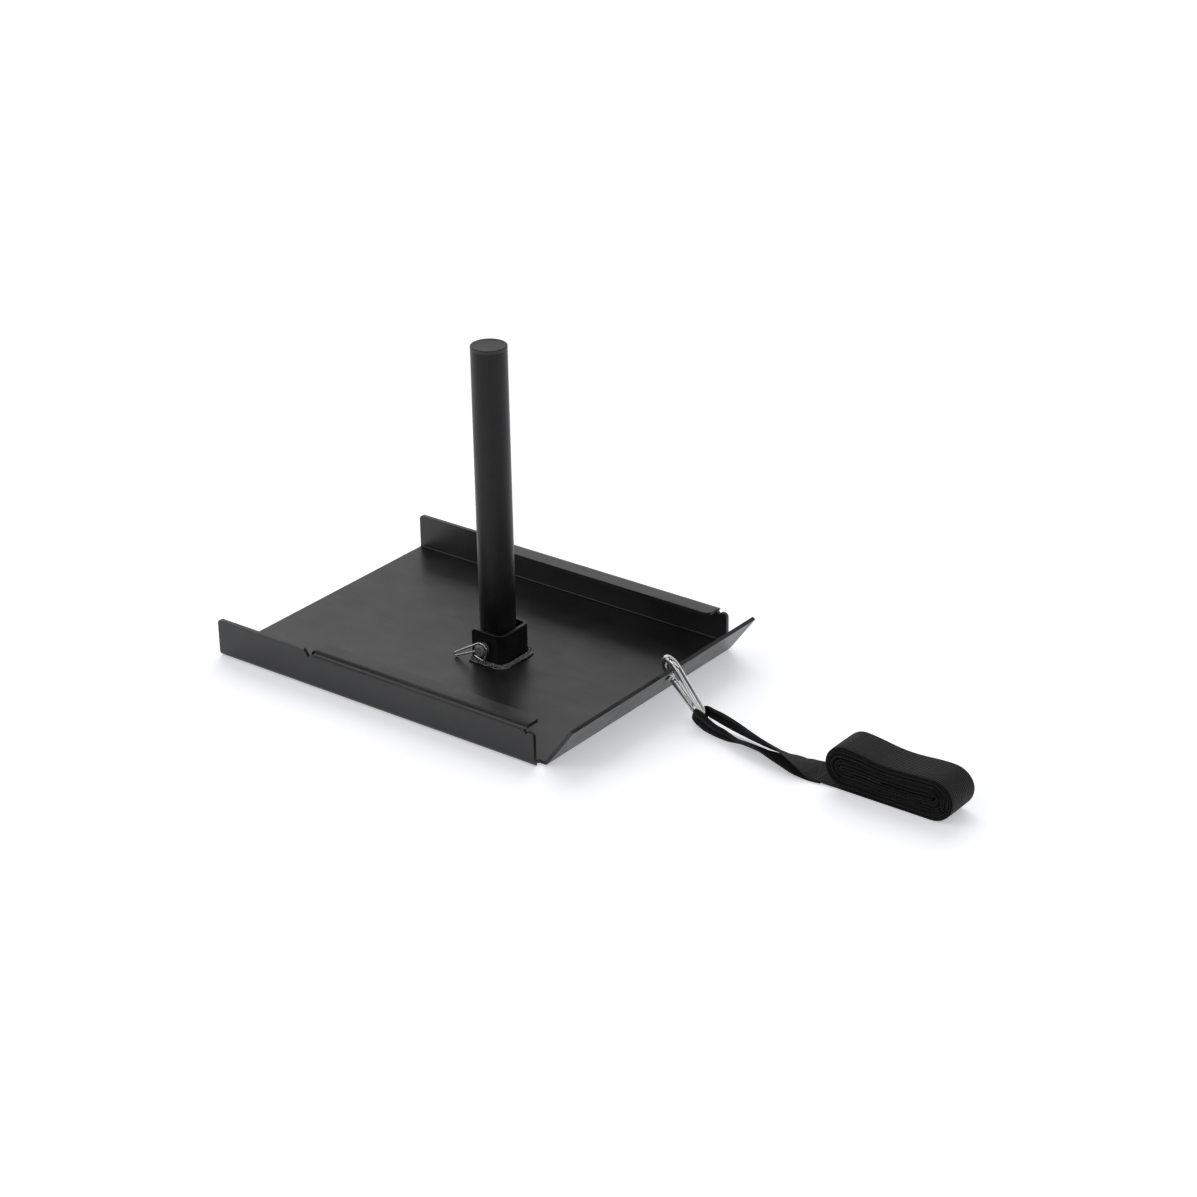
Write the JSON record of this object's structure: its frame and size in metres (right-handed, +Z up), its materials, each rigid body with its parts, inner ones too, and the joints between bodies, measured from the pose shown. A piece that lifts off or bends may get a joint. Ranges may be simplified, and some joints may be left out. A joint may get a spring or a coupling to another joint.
{
  "type": "drag sled",
  "caption": "Folded steel drag sled with a socketed plate post, cross pin and clip, and a spring hook holding a rolled pull strap.",
  "frame": {"origin": "on the floor under the pan, on the axis of the plate post", "axes": "+Z up along the plate post, +X forward in the towing direction, +Y to the sled's left"},
  "size_m": [1.0273, 0.418, 0.4428],
  "materials": {
    "coated_steel": "satin black powder coat",
    "cap_plastic": "matte",
    "zinc": "bright zinc plate",
    "webbing": "woven nylon"
  },
  "bodies": {
    "sled": {"sled_pan": "coated_steel", "post_socket": "coated_steel", "socket_weld": "coated_steel", "plate_post": "coated_steel", "post_cap": "cap_plastic", "strap_lead": "webbing", "strap_roll": "webbing"},
    "pin": {"lock_pin": "coated_steel", "pin_clip": "zinc"},
    "hook": {"hook_body": "zinc", "hinge_rivet": "zinc", "strap_eye": "webbing"},
    "gate": {"hook_gate": "zinc", "latch_pin": "zinc", "gate_spring": "zinc", "gate_plunger": "zinc"}
  },
  "joints": [
    {"name": "pin_turn", "type": "hinge", "parent": "sled", "child": "pin", "pos_m": [0, 0, 0.0265], "axis": [0, 1, 0], "range_deg": [0, 215]},
    {"name": "hook_swing", "type": "hinge", "parent": "sled", "child": "hook", "pos_m": [0.26531, 0.016, 0.04679], "axis": [0, -1, 0], "range_deg": [0, 22], "deforming": ["strap_lead"]},
    {"name": "gate_open", "type": "hinge", "parent": "hook", "child": "gate", "pos_m": [0.30929, 0.00986, 0.01506], "axis": [0.3773, 0.8833, 0.2784], "range_deg": [0, 20], "stiffness_Nm_per_rad": 0.02, "springref_deg": -20.05}
  ]
}
